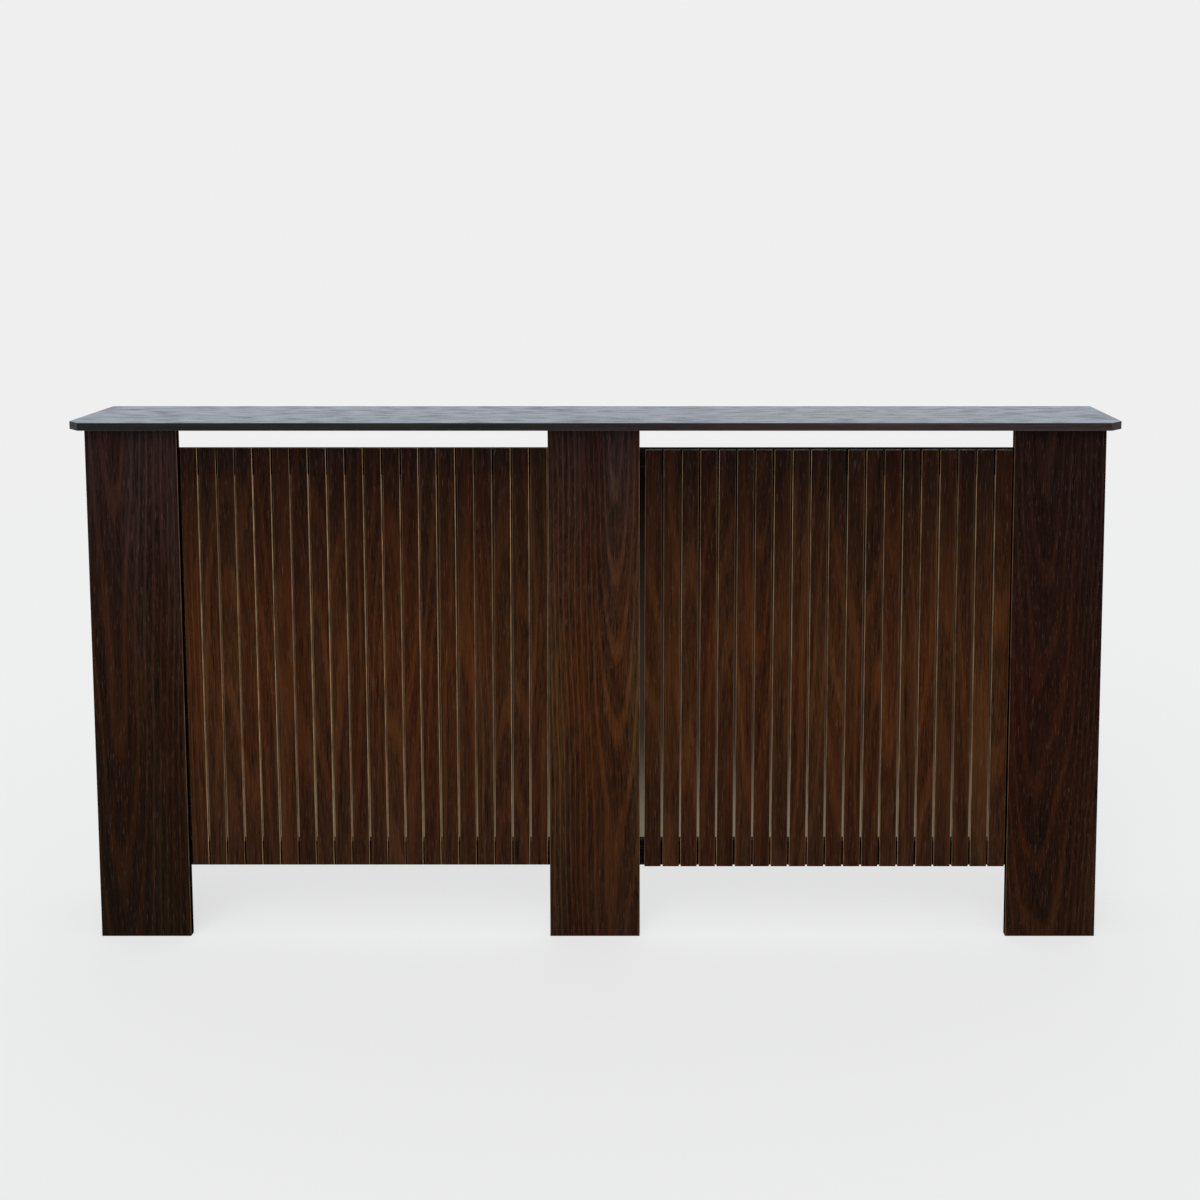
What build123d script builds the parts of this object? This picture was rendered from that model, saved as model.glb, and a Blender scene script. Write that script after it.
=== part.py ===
"""Radiator cover cabinet.

A long shelf rests on three stiles at the front and on two side panels. Two rails run behind the
stiles and carry the slats of the left and the right grille. The back and the foot are open: the
cover stands over a radiator, and warm air leaves between the slats and through the slot under
the shelf.

Origin on the floor, midway between the ends and midway between the shelf's front edge and the
wall. +X runs to the right as seen from the room, +Y towards the wall and +Z up. Millimetres.
"""

from build123d import *

import os
from math import radians, tan

# ------------------------------------------------------------------ driving sizes
# Shelf
cabinet_height = 815.0
shelf_length = 1600.0
shelf_depth = 190.0
shelf_thickness = 12.0
shelf_corner_cut = 20.0
side_overhang = 22.0
front_overhang = 20.0

# Stiles and side panels
stile_width = 140.0
stile_thickness = 12.0
centre_stile_shift = -4.0
panel_thickness = 12.0
skirting_height = 100.0
skirting_depth = 15.0

# Corner battens, behind the outer stiles
batten_size = 18.0
batten_floor_gap = 5.0
batten_shelf_gap = 5.0

# Rails, on the backs of the stiles
rail_height = 40.0
rail_thickness = 12.0
floor_gap = 110.5
air_slot = 32.0

# Slats, on the fronts of the rails
slat_count = 20
slat_gap = 2.6
slat_thickness = 6.0
slat_top_setback = 1.5
left_slat_rise = 2.7
left_start_gap = 3.4
left_end_gap = 2.6
right_start_gap = 8.2
right_end_gap = 1.9

# Rounded edges
board_arris = 0.8
slat_arris = 0.5

# Steel angles
steel_thickness = 2.0
steel_bend_radius = 1.0
angle_leg = 25.0
angle_width = 18.0
angle_batten_gap = 8.0
angle_wall_gap = 25.0
wall_bracket_drop = 28.0
wall_bracket_width = 50.0
wall_bracket_inset = 266.0
wall_hole_spacing = 30.0
wall_hole_radius = 2.2

# Wood screws
screw_radius = 1.6
screw_head_radius = 3.5
screw_head_height = 2.2
screw_head_angle = 90.0
screw_clearance = 0.05
screw_pilot_spare = 1.0
bracket_screw_bite = 7.0
rail_screw_bite = 6.0
batten_screw_bite = 7.0
outer_rail_screw_spacing = 50.0
centre_rail_screw_spacing = 80.0
batten_screw_count = 4
batten_screw_end = 60.0
batten_screw_stagger = 30.0

# Pins and dowels
pin_radius = 0.6
pin_clearance = 0.02
pin_slat_bite = 4.5
dowel_radius = 3.0
dowel_clearance = 0.05
dowel_shelf_depth = 8.0
dowel_board_depth = 20.0
dowel_end_gap = 0.5
stile_dowel_spacing = 80.0

# ------------------------------------------------------------------ places worked out from them
shelf_underside = cabinet_height - shelf_thickness
wall_plane = shelf_depth / 2
body_half_length = shelf_length / 2 - side_overhang
inner_half_length = body_half_length - panel_thickness

stile_front = -shelf_depth / 2 + front_overhang
stile_back = stile_front + stile_thickness
stile_middle = (stile_front + stile_back) / 2
outer_stile_x = body_half_length - stile_width / 2
rail_back = stile_back + rail_thickness

batten_back = stile_back + batten_size
batten_x = inner_half_length - batten_size / 2
batten_length = shelf_underside - batten_shelf_gap - batten_floor_gap
rail_half_length = inner_half_length - batten_size

top_rail_top = shelf_underside - air_slot
rail_bottoms = {"top_rail": top_rail_top - rail_height, "bottom_rail": floor_gap}
slat_length = top_rail_top - slat_top_setback - floor_gap

# Two angles and, between them, two dowels join the shelf to each side panel
side_panel_x = body_half_length - panel_thickness / 2
front_angle_y = batten_back + angle_batten_gap + angle_width / 2
rear_angle_y = wall_plane - angle_wall_gap - angle_width / 2
panel_dowel_ys = [front_angle_y + (rear_angle_y - front_angle_y) * third / 3 for third in (1, 2)]
angle_screw_offset = (angle_leg + steel_thickness) / 2
screw_hole_radius = screw_radius + screw_clearance
sunk_radius = screw_head_radius + screw_clearance
wall_bracket_x = inner_half_length - wall_bracket_inset
wall_hole_height = shelf_underside - (wall_bracket_drop + steel_thickness) / 2

sides = {"left": -1, "right": 1}
stile_centres = {"left": -outer_stile_x, "centre": centre_stile_shift, "right": outer_stile_x}

# The grilles fill the two openings between the stiles with slats of one width
openings = {
    "left": (stile_centres["left"] + stile_width / 2, stile_centres["centre"] - stile_width / 2),
    "right": (stile_centres["centre"] + stile_width / 2, stile_centres["right"] - stile_width / 2),
}
end_gaps = {
    "left": (left_start_gap, left_end_gap),
    "right": (right_start_gap, right_end_gap),
}
slat_width = min(
    (end - start - sum(end_gaps[name]) - (slat_count - 1) * slat_gap) / slat_count
    for name, (start, end) in openings.items()
)


def slat_centres(name):
    """Centres of the slats in one opening, spread evenly between its two end gaps."""
    start, end = openings[name]
    start_gap, end_gap = end_gaps[name]
    first = start + start_gap + slat_width / 2
    last = end - end_gap - slat_width / 2
    return [first + (last - first) * step / (slat_count - 1) for step in range(slat_count)]


grilles = {
    "left": {"centres": slat_centres("left"), "bottom": floor_gap + left_slat_rise},
    "right": {"centres": slat_centres("right"), "bottom": floor_gap},
}


def plane_facing_wall(depth):
    """Upright plane at this depth, X to the left and Z up, whose normal points at the wall."""
    return Plane(origin=(0, depth, 0), x_dir=(-1, 0, 0), z_dir=(0, 1, 0))


def mouth_plane(position, direction_out):
    """Plane at the mouth of a hole: its normal points out of the wood."""
    return Plane(origin=position, z_dir=direction_out)


def label_and_export(piece, label):
    """Name the finished piece and write it to its own file."""
    piece.part.label = label
    export_step(piece.part, f"parts/{label}.step")


# ------------------------------------------------------------------ where the fasteners go
towards_wall = (0, 1, 0)
upwards = (0, 0, 1)
downwards = (0, 0, -1)


def pair(middle, spacing):
    """Two places this far apart, about a middle."""
    return [middle - spacing / 2, middle + spacing / 2]


# A rail laps an outer stile from the batten's inner face to the stile's inner edge
outer_lap_x = (rail_half_length + outer_stile_x - stile_width / 2) / 2
rail_screw_xs = (
    pair(-outer_lap_x, outer_rail_screw_spacing)
    + pair(centre_stile_shift, centre_rail_screw_spacing)
    + pair(outer_lap_x, outer_rail_screw_spacing)
)
rail_middles = [bottom + rail_height / 2 for bottom in rail_bottoms.values()]

batten_screw_span = batten_length - 2 * batten_screw_end - batten_screw_stagger
batten_screw_zs = [
    batten_floor_gap + batten_screw_end + batten_screw_span * step / (batten_screw_count - 1)
    for step in range(batten_screw_count)
]

wall_bracket_xs = [-wall_bracket_x, 0.0, wall_bracket_x]
wall_hole_xs = [x for centre in wall_bracket_xs for x in pair(centre, wall_hole_spacing)]


def rail_screw_planes(heights):
    """Heads of the screws on the rails' back faces, at the given heights."""
    return [mouth_plane((x, rail_back, z), towards_wall) for z in heights for x in rail_screw_xs]


def batten_to_stile_planes(side):
    """Heads of the screws on a batten's rear face, driven forwards into the stile."""
    return [mouth_plane((side * batten_x, batten_back, z), towards_wall) for z in batten_screw_zs]


def batten_to_panel_planes(side):
    """Heads of the screws on a batten's inner face, driven outwards into the side panel."""
    head_x = side * rail_half_length
    head_y = stile_back + batten_size / 2
    return [
        mouth_plane((head_x, head_y, z + batten_screw_stagger), (-side, 0, 0))
        for z in batten_screw_zs
    ]


def angle_to_shelf_planes(side):
    """Heads of the screws under the shelf angles' flat legs."""
    x = side * (inner_half_length - angle_screw_offset)
    z = shelf_underside - steel_thickness
    return [mouth_plane((x, y, z), downwards) for y in (front_angle_y, rear_angle_y)]


def angle_to_panel_planes(side):
    """Heads of the screws on the shelf angles' upright legs."""
    x = side * (inner_half_length - steel_thickness)
    z = shelf_underside - angle_screw_offset
    return [mouth_plane((x, y, z), (-side, 0, 0)) for y in (front_angle_y, rear_angle_y)]


def wall_bracket_screw_planes():
    """Heads of the screws under the wall brackets' flat legs."""
    y = wall_plane - angle_screw_offset
    z = shelf_underside - steel_thickness
    return [mouth_plane((x, y, z), downwards) for x in wall_hole_xs]


def stile_dowel_points(centre):
    """Dowels in the top of a stile, in plan."""
    return [(x, stile_middle) for x in pair(centre, stile_dowel_spacing)]


def panel_dowel_points(side):
    """Dowels in the top of a side panel, in plan."""
    return [(side * side_panel_x, y) for y in panel_dowel_ys]


all_dowel_points = [point for x in stile_centres.values() for point in stile_dowel_points(x)]
all_dowel_points += [point for side in sides.values() for point in panel_dowel_points(side)]

shelf_screw_planes = wall_bracket_screw_planes()
for side in sides.values():
    shelf_screw_planes += angle_to_shelf_planes(side)


def drill_for_shank(planes, head_thickness, bite):
    """Pilot holes in the wood behind a bracket, rail or batten of this thickness."""
    for plane in planes:
        with Locations(plane.offset(-head_thickness)):
            Hole(radius=screw_hole_radius, depth=bite + screw_pilot_spare)


def drill_for_dowels(points, direction_out, depth):
    """Blind dowel holes from the joint under the shelf, at the given points in plan."""
    with Locations(*[mouth_plane((x, y, shelf_underside), direction_out) for x, y in points]):
        Hole(radius=dowel_radius + dowel_clearance, depth=depth + dowel_end_gap)


# ------------------------------------------------------------------ shelf
os.makedirs("parts", exist_ok=True)

with BuildPart() as top_shelf:
    with BuildSketch(Plane.XY.offset(shelf_underside)):
        Rectangle(shelf_length, shelf_depth)
    extrude(amount=shelf_thickness)
    chamfer(top_shelf.edges().filter_by(Axis.Z).group_by(Axis.Y)[0], length=shelf_corner_cut)
    rear_face = top_shelf.faces().sort_by(Axis.Y)[-1]
    outer_faces = top_shelf.faces().sort_by(Axis.Z)
    rounded = outer_faces[0].edges() + outer_faces[-1].edges()
    fillet([edge for edge in rounded if edge not in rear_face.edges()], radius=board_arris)
    drill_for_shank(shelf_screw_planes, steel_thickness, bracket_screw_bite)
    drill_for_dowels(all_dowel_points, downwards, dowel_shelf_depth)
label_and_export(top_shelf, "top_shelf")

# ------------------------------------------------------------------ stiles
for name, centre in stile_centres.items():
    with BuildPart() as stile:
        with BuildSketch(Plane.XY):
            with Locations((centre, stile_middle)):
                Rectangle(stile_width, stile_thickness)
        extrude(amount=shelf_underside)
        front_edges = stile.faces().sort_by(Axis.Y)[0].edges()
        fillet(front_edges.filter_by(Axis.Z), radius=board_arris)
        drill_for_dowels(stile_dowel_points(centre), upwards, dowel_board_depth)
        stile_end = centre - stile_width / 2
        behind_stile = [
            plane for plane in rail_screw_planes(rail_middles)
            if 0 < plane.origin.X - stile_end < stile_width
        ]
        drill_for_shank(behind_stile, rail_thickness, rail_screw_bite)
        if name in sides:
            drill_for_shank(batten_to_stile_planes(sides[name]), batten_size, batten_screw_bite)
    label_and_export(stile, f"{name}_stile")

# ------------------------------------------------------------------ side panels
for name, side in sides.items():
    with BuildPart() as side_panel:
        # The panel's outline seen from the side: Y along the sketch, with the skirting notch
        with BuildSketch(Plane.YZ.offset(side * side_panel_x)):
            with BuildLine():
                Polyline(
                    (stile_back, 0),
                    (stile_back, shelf_underside),
                    (wall_plane, shelf_underside),
                    (wall_plane, skirting_height),
                    (wall_plane - skirting_depth, skirting_height),
                    (wall_plane - skirting_depth, 0),
                    close=True,
                )
            make_face()
        extrude(amount=panel_thickness / 2, both=True)
        drill_for_dowels(panel_dowel_points(side), upwards, dowel_board_depth)
        drill_for_shank(batten_to_panel_planes(side), batten_size, batten_screw_bite)
        drill_for_shank(angle_to_panel_planes(side), steel_thickness, bracket_screw_bite)
    label_and_export(side_panel, f"{name}_side_panel")

# ------------------------------------------------------------------ corner battens
for name, side in sides.items():
    with BuildPart() as corner_batten:
        with BuildSketch(Plane.XY.offset(batten_floor_gap)):
            with Locations((side * batten_x, stile_back + batten_size / 2)):
                Rectangle(batten_size, batten_size)
        extrude(amount=batten_length)
        with Locations(*batten_to_stile_planes(side), *batten_to_panel_planes(side)):
            CounterSinkHole(screw_hole_radius, sunk_radius, batten_size, screw_head_angle)
    label_and_export(corner_batten, f"{name}_corner_batten")

# ------------------------------------------------------------------ rails
pin_xs = [x for grille in grilles.values() for x in grille["centres"]]

for name, bottom in rail_bottoms.items():
    rail_middle = bottom + rail_height / 2
    with BuildPart() as rail:
        with BuildSketch(Plane.XY.offset(bottom)):
            with Locations((0, (stile_back + rail_back) / 2)):
                Rectangle(2 * rail_half_length, rail_thickness)
        extrude(amount=rail_height)
        with Locations(*rail_screw_planes([rail_middle])):
            CounterSinkHole(screw_hole_radius, sunk_radius, rail_thickness, screw_head_angle)
        with BuildSketch(plane_facing_wall(rail_back)):
            with Locations(*[(-x, rail_middle) for x in pin_xs]):
                Circle(pin_radius + pin_clearance)
        extrude(amount=-rail_thickness, mode=Mode.SUBTRACT)
    label_and_export(rail, name)

# ------------------------------------------------------------------ slats and their pins
for name, grille in grilles.items():
    for number, x in enumerate(grille["centres"], start=1):
        with BuildPart() as slat:
            with BuildSketch(Plane.XY.offset(grille["bottom"])):
                with Locations((x, stile_back - slat_thickness / 2)):
                    Rectangle(slat_width, slat_thickness)
            extrude(amount=slat_length)
            front_edges = slat.faces().sort_by(Axis.Y)[0].edges()
            fillet(front_edges.filter_by(Axis.Z), radius=slat_arris)
            with BuildSketch(plane_facing_wall(stile_back)):
                with Locations(*[(-x, z) for z in rail_middles]):
                    Circle(pin_radius + pin_clearance)
            extrude(amount=-pin_slat_bite, mode=Mode.SUBTRACT)
        label_and_export(slat, f"{name}_slat_{number:02d}")

    with BuildPart() as slat_pins:
        with BuildSketch(plane_facing_wall(rail_back)):
            with Locations(*[(-x, z) for z in rail_middles for x in grille["centres"]]):
                Circle(pin_radius)
        extrude(amount=-(rail_thickness + pin_slat_bite))
    label_and_export(slat_pins, f"{name}_slat_pins")


# ------------------------------------------------------------------ steel angles
def bent_section(corner, x_dir, z_dir, drop):
    """Section of a steel angle with its corner under the shelf: one leg along X, one down -Y."""
    with BuildSketch(Plane(origin=corner, x_dir=x_dir, z_dir=z_dir)) as section:
        with BuildLine():
            Polyline(
                (0, 0),
                (angle_leg, 0),
                (angle_leg, -steel_thickness),
                (steel_thickness, -steel_thickness),
                (steel_thickness, -drop),
                (0, -drop),
                close=True,
            )
        make_face()
        outer_corner = section.vertices().sort_by_distance((0, 0))[0]
        inner_corner = section.vertices().sort_by_distance((steel_thickness, -steel_thickness))[0]
        fillet(outer_corner, radius=steel_bend_radius + steel_thickness)
        fillet(inner_corner, radius=steel_bend_radius)
    return section.sketch


with BuildPart() as shelf_angles:
    for side in sides.values():
        for y in (front_angle_y, rear_angle_y):
            corner = (side * inner_half_length, y, shelf_underside)
            section = bent_section(corner, (-side, 0, 0), (0, side, 0), angle_leg)
            extrude(section, amount=angle_width / 2, both=True)
        with Locations(*angle_to_shelf_planes(side), *angle_to_panel_planes(side)):
            Hole(radius=screw_hole_radius, depth=steel_thickness)
label_and_export(shelf_angles, "shelf_angles")

with BuildPart() as wall_brackets:
    for x in wall_bracket_xs:
        corner = (x, wall_plane, shelf_underside)
        section = bent_section(corner, (0, -1, 0), (-1, 0, 0), wall_bracket_drop)
        extrude(section, amount=wall_bracket_width / 2, both=True)
    with Locations(*wall_bracket_screw_planes()):
        Hole(radius=screw_hole_radius, depth=steel_thickness)
    with BuildSketch(plane_facing_wall(wall_plane)):
        with Locations(*[(-x, wall_hole_height) for x in wall_hole_xs]):
            Circle(wall_hole_radius)
    extrude(amount=-steel_thickness, mode=Mode.SUBTRACT)
label_and_export(wall_brackets, "wall_brackets")


# ------------------------------------------------------------------ screws and dowels
def countersunk_screw(length):
    """A wood screw: its head's flat face at Z = 0 and its shank down -Z."""
    cone_height = (screw_head_radius - screw_radius) / tan(radians(screw_head_angle / 2))
    with BuildPart(mode=Mode.PRIVATE) as screw:
        with BuildSketch(Plane.XZ):
            with BuildLine():
                Polyline(
                    (0, 0),
                    (screw_head_radius, 0),
                    (screw_radius, -cone_height),
                    (screw_radius, screw_radius - length),
                    (0, -length),
                    close=True,
                )
            make_face()
        revolve(axis=Axis.Z)
    return screw.part


def round_head_screw(length):
    """A wood screw: the underside of its head at Z = 0 and its shank down -Z."""
    with BuildPart(mode=Mode.PRIVATE) as screw:
        with BuildSketch(Plane.XZ):
            with BuildLine():
                TangentArc((0, screw_head_height), (screw_head_radius, 0), tangent=(1, 0))
                Polyline(
                    (screw_head_radius, 0),
                    (screw_radius, 0),
                    (screw_radius, screw_radius - length),
                    (0, -length),
                    (0, screw_head_height),
                )
            make_face()
        revolve(axis=Axis.Z)
    return screw.part


rail_screw = countersunk_screw(rail_thickness + rail_screw_bite)
with BuildPart() as rail_screws:
    with Locations(*rail_screw_planes(rail_middles)):
        add(rail_screw)
label_and_export(rail_screws, "rail_screws")

batten_screw = countersunk_screw(batten_size + batten_screw_bite)
with BuildPart() as batten_screws:
    for side in sides.values():
        with Locations(*batten_to_stile_planes(side), *batten_to_panel_planes(side)):
            add(batten_screw)
label_and_export(batten_screws, "batten_screws")

bracket_screw = round_head_screw(steel_thickness + bracket_screw_bite)
with BuildPart() as bracket_screws:
    with Locations(*shelf_screw_planes):
        add(bracket_screw)
    for side in sides.values():
        with Locations(*angle_to_panel_planes(side)):
            add(bracket_screw)
label_and_export(bracket_screws, "bracket_screws")

with BuildPart() as shelf_dowels:
    with BuildSketch(Plane.XY.offset(shelf_underside - dowel_board_depth)):
        with Locations(*all_dowel_points):
            Circle(dowel_radius)
    extrude(amount=dowel_board_depth + dowel_shelf_depth)
label_and_export(shelf_dowels, "shelf_dowels")
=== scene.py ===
"""Radiator cover cabinet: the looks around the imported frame.

The boards of the frame are replaced by the same boards with softened arrises, a
slight natural bow and lean in the slats and a grain of their own, in open-pored oak
veneer stained as dark as walnut. The shelf is the same wood under a satin lacquer.
The screws get cross recesses and threads, and the dowels flutes. Rails, battens,
steel angles, brackets and pins keep the frame's own shapes and get their finish here.

Everything is in metres: +X to the right, +Y to the wall, +Z up, the floor at zero.
A board has three directions of its own: along its grain, across its show face, and
deep, from the show face to its back.
"""
import math

import bpy
import numpy as np
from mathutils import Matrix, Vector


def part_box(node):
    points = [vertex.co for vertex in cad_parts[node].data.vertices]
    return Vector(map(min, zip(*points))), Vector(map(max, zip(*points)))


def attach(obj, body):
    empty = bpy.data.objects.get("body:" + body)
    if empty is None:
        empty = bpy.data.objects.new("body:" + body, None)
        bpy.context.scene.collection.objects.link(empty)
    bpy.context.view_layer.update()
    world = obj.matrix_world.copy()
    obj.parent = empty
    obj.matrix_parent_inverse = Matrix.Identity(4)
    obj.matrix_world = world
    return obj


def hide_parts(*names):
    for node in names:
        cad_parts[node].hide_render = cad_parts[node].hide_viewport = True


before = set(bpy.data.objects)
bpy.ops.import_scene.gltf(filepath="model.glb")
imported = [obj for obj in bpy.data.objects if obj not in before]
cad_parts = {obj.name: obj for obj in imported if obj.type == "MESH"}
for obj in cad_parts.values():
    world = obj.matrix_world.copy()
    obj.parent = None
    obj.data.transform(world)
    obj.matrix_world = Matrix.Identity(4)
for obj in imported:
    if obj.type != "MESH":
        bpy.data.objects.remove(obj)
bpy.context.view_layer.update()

MM = 0.001

# Real sizes of this cabinet that its boxes don't tell.
SHELF_CORNER_CUT = 20 * MM
SKIRTING_HEIGHT, SKIRTING_DEPTH = 100 * MM, 15 * MM
SLATS_PER_SIDE = 20

# How far the arrises are rubbed round, and how far their pale line runs on to a face:
# the line is worn, and partly a painted highlight.
BOARD_ARRIS, SLAT_ARRIS, SHELF_ARRIS = 0.7 * MM, 0.4 * MM, 0.5 * MM
PALE_LINE_WIDTH = 0.15 * MM
END_ARRIS = 0.6  # an end is rounded this much of a long edge
ARRIS_STEPS = 3

X, Y, Z = 0, 1, 2
FRONT, LEFT, RIGHT, TOP = (Y, -1), (X, -1), (X, 1), (Z, 1)


# ---------------------------------------------------------------- colours and nodes


def paint(code):
    """A hex colour as linear red, green, blue and one: the sRGB curve undone."""
    value = np.array([int(code[i : i + 2], 16) / 255 for i in (1, 3, 5)])
    linear = np.where(value <= 0.04045, value / 12.92, ((value + 0.055) / 1.055) ** 2.4)
    return (*linear.tolist(), 1.0)


def add(tree, kind, settings, inputs):
    """Adds a node, sets its properties, links each input that is a socket and sets
    each that is a value. Returns the node's outputs."""
    made = tree.nodes.new("ShaderNode" + kind)
    for key, value in settings.items():
        setattr(made, key, value)
    for key, value in inputs.items():
        if isinstance(value, bpy.types.NodeSocket):
            tree.links.new(value, made.inputs[key])
        else:
            made.inputs[key].default_value = value
    return made.outputs


# Settings that come up often, and a colour mix's inputs and output.
TIMES = {"operation": "MULTIPLY"}
SMOOTH = {"interpolation_type": "SMOOTHSTEP"}
BLEND = {"data_type": "RGBA"}
FACTOR, FIRST, SECOND, MIXED = 0, 6, 7, 2


def empty_tree(owner):
    """The owner's node tree with nothing in it."""
    owner.use_nodes = True
    owner.node_tree.nodes.clear()
    return owner.node_tree


def in_scene(name, data):
    """A new object of the scene, at the origin."""
    made = bpy.data.objects.new(name, data)
    bpy.context.scene.collection.objects.link(made)
    return made


# ---------------------------------------------------------------- finishes

# The figure of the wood. Its noises have cells, so many to a metre across the grain,
# along it and deep, and each has its detail and its roughness. Fibres are 1.4 mm wide
# and 55 mm long, streaks 5 by 420 mm, bands 33 by 1100 mm, and the hue changes over 38
# by 830 mm. Real pores are 0.3 mm wide, which is too fine to show, so the ticks where
# light catches them are drawn 1.2 mm wide and 24 mm long.
FIGURE = {
    "fibre": ((700, 18, 700), 3.0, 0.6),
    "streak": ((210, 2.4, 210), 2.0, 0.5),
    "band": ((30, 0.9, 30), 2.0, 0.5),
    "hue": ((26, 1.2, 26), 1.0, 0.5),
    "pore": ((820, 42, 820), 1.0, 0.5),
}
NOISE_MEAN, RING_MEAN = 0.5, 0.3
DARKEST_FIGURE = 0.15
RING_SPACING = 7.5 * MM
# The log wanders by up to half of this each way, over 70 mm across and 500 mm along.
WANDER, WANDER_CELLS = 20 * MM, (14, 2.0, 14)
# Arrises are worn pale in patches of 17 by 40 mm, which also break up their painted
# highlights, and a brushed lacquer lies in short dashes 10 mm wide and 40 mm long.
PALE_PATCH_CELLS, BRUSH_CELLS = (60, 25, 60), (100, 25, 100)


def stained_oak(name, grain_from, stain, specular, roughness):
    """Open-pored oak veneer with a dark stain.

    The grain is a slice of a log: its rings are circles round the pith, so a board
    cut near the pith shows nested arches and one cut far from it shows straight
    lines. A ring's pale line is followed by fibres, streaks, slow bands, and short
    ticks where light catches the open pores. The figure scales the colour that a
    board keeps for each place along it: the stain's own, with painted light and shade
    in it on the upright boards.
    """
    material = bpy.data.materials.new(name)
    tree = empty_tree(material)
    on_board = grain_from == "board"
    if on_board:
        grain = add(tree, "Attribute", {"attribute_name": "grain"}, {})["Vector"]
        tint = add(tree, "Attribute", {"attribute_name": "tint"}, {})["Color"]
    else:
        place = add(tree, "TexCoord", {}, {})["Object"]
        turn = {"X": (0, 0, math.pi / 2), "Z": (math.pi / 2, 0, 0)}[grain_from]
        grain = add(tree, "Mapping", {}, {"Vector": place, "Rotation": turn})[0]
        tint = paint(stain["tint"])[:3]

    slow = add(tree, "VectorMath", TIMES, {0: grain, 1: WANDER_CELLS})[0]
    wander = add(tree, "TexNoise", {}, {"Vector": slow, "Scale": 1.0, "Detail": 1.0})["Color"]
    centred = add(
        tree, "VectorMath", {"operation": "SUBTRACT"}, {0: wander, 1: (0.5, 0.5, 0.5)}
    )[0]
    drift = add(tree, "VectorMath", TIMES, {0: centred, 1: (WANDER, 0.0, WANDER)})[0]
    log = add(tree, "VectorMath", {"operation": "ADD"}, {0: grain, 1: drift})[0]

    part = {}
    for key, (cells, detail, noise_roughness) in FIGURE.items():
        grid = add(tree, "VectorMath", TIMES, {0: log, 1: cells})[0]
        noise = {"Vector": grid, "Scale": 1.0, "Detail": detail, "Roughness": noise_roughness}
        part[key] = add(tree, "TexNoise", {}, noise)["Fac"]
    round_pith = add(tree, "VectorMath", TIMES, {0: log, 1: (1, 0, 1)})[0]
    radius = add(tree, "VectorMath", {"operation": "LENGTH"}, {0: round_pith})["Value"]
    phase = add(tree, "Math", TIMES, {0: radius, 1: 2 * math.pi / RING_SPACING})[0]
    wave = add(tree, "Math", {"operation": "SINE"}, {0: phase})[0]
    part["ring"] = add(tree, "MapRange", SMOOTH, {"Value": wave, "From Min": 0.2})[0]
    pore = add(
        tree, "MapRange", SMOOTH, {"Value": part["pore"], "From Min": 0.60, "From Max": 0.76}
    )[0]

    # where each part is at its mean, the figure is one
    figure = 1 - RING_MEAN * stain["ring"]
    for key in ("fibre", "streak", "band"):
        figure -= NOISE_MEAN * stain[key]
    for key in ("fibre", "streak", "band", "ring"):
        scaled = {0: part[key], 1: stain[key], 2: figure}
        figure = add(tree, "Math", {"operation": "MULTIPLY_ADD"}, scaled)[0]
    figure = add(tree, "Math", {"operation": "MAXIMUM"}, {0: figure, 1: DARKEST_FIGURE})[0]
    colour = add(tree, "VectorMath", {"operation": "SCALE"}, {0: tint, "Scale": figure})[0]
    hue = add(
        tree, "MapRange", {}, {"Value": part["hue"], "From Min": 0.35, "From Max": 0.65}
    )[0]
    colour = add(
        tree,
        "Mix",
        {**BLEND, "blend_type": "MULTIPLY"},
        {FACTOR: hue, FIRST: colour, SECOND: paint(stain["warm"])},
    )[MIXED]
    shown_pore = add(tree, "Math", TIMES, {0: pore, 1: stain["pore"]})[0]
    colour = add(
        tree, "Mix", BLEND, {FACTOR: shown_pore, FIRST: colour, SECOND: paint(stain["glint"])}
    )[MIXED]
    if on_board:
        cut_edge = add(tree, "Attribute", {"attribute_name": "cut_edge"}, {})["Fac"]
        soaked_and_shaded = add(tree, "Math", TIMES, {0: cut_edge, 1: stain["soak_and_shade"]})[0]
        colour = add(
            tree, "Mix", BLEND, {FACTOR: soaked_and_shaded, FIRST: colour, SECOND: paint(stain["edge"])}
        )[MIXED]
        worn_and_lit = add(tree, "Attribute", {"attribute_name": "worn_and_lit"}, {})["Fac"]
        grid = add(tree, "VectorMath", TIMES, {0: grain, 1: PALE_PATCH_CELLS})[0]
        noise = {"Vector": grid, "Scale": 1.0, "Detail": 3.0}
        patches = add(tree, "TexNoise", {}, noise)["Fac"]
        paleness = add(
            tree,
            "MapRange",
            {},
            {"Value": patches, "From Min": 0.30, "From Max": 0.62, "To Min": 0.35},
        )[0]
        pale_share = add(tree, "Math", TIMES, {0: worn_and_lit, 1: paleness})[0]
        colour = add(
            tree, "Mix", BLEND, {FACTOR: pale_share, FIRST: colour, SECOND: paint(stain["bare_and_lit"])}
        )[MIXED]

    clouding = part["fibre"]
    if stain["lacquered"]:
        grid = add(tree, "VectorMath", TIMES, {0: grain, 1: BRUSH_CELLS})[0]
        noise = {"Vector": grid, "Scale": 1.0, "Detail": 3.0}
        clouding = add(tree, "TexNoise", {}, noise)["Fac"]
    smoothest, roughest = roughness
    gloss = {"From Min": 0.3, "From Max": 0.7, "To Min": roughest, "To Max": smoothest}
    shine = add(tree, "MapRange", {}, {"Value": clouding, **gloss})[0]
    sunk = {0: pore, 1: -0.6, 2: part["fibre"]}
    height = add(tree, "Math", {"operation": "MULTIPLY_ADD"}, sunk)[0]
    bump = {"Strength": stain["relief"], "Distance": 0.2 * MM, "Height": height}
    surface = add(
        tree,
        "BsdfPrincipled",
        {},
        {
            "Base Color": colour,
            "Roughness": shine,
            "Specular IOR Level": specular,
            "Normal": add(tree, "Bump", {}, bump)[0],
        },
    )[0]
    add(tree, "OutputMaterial", {}, {"Surface": surface})
    return material
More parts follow.
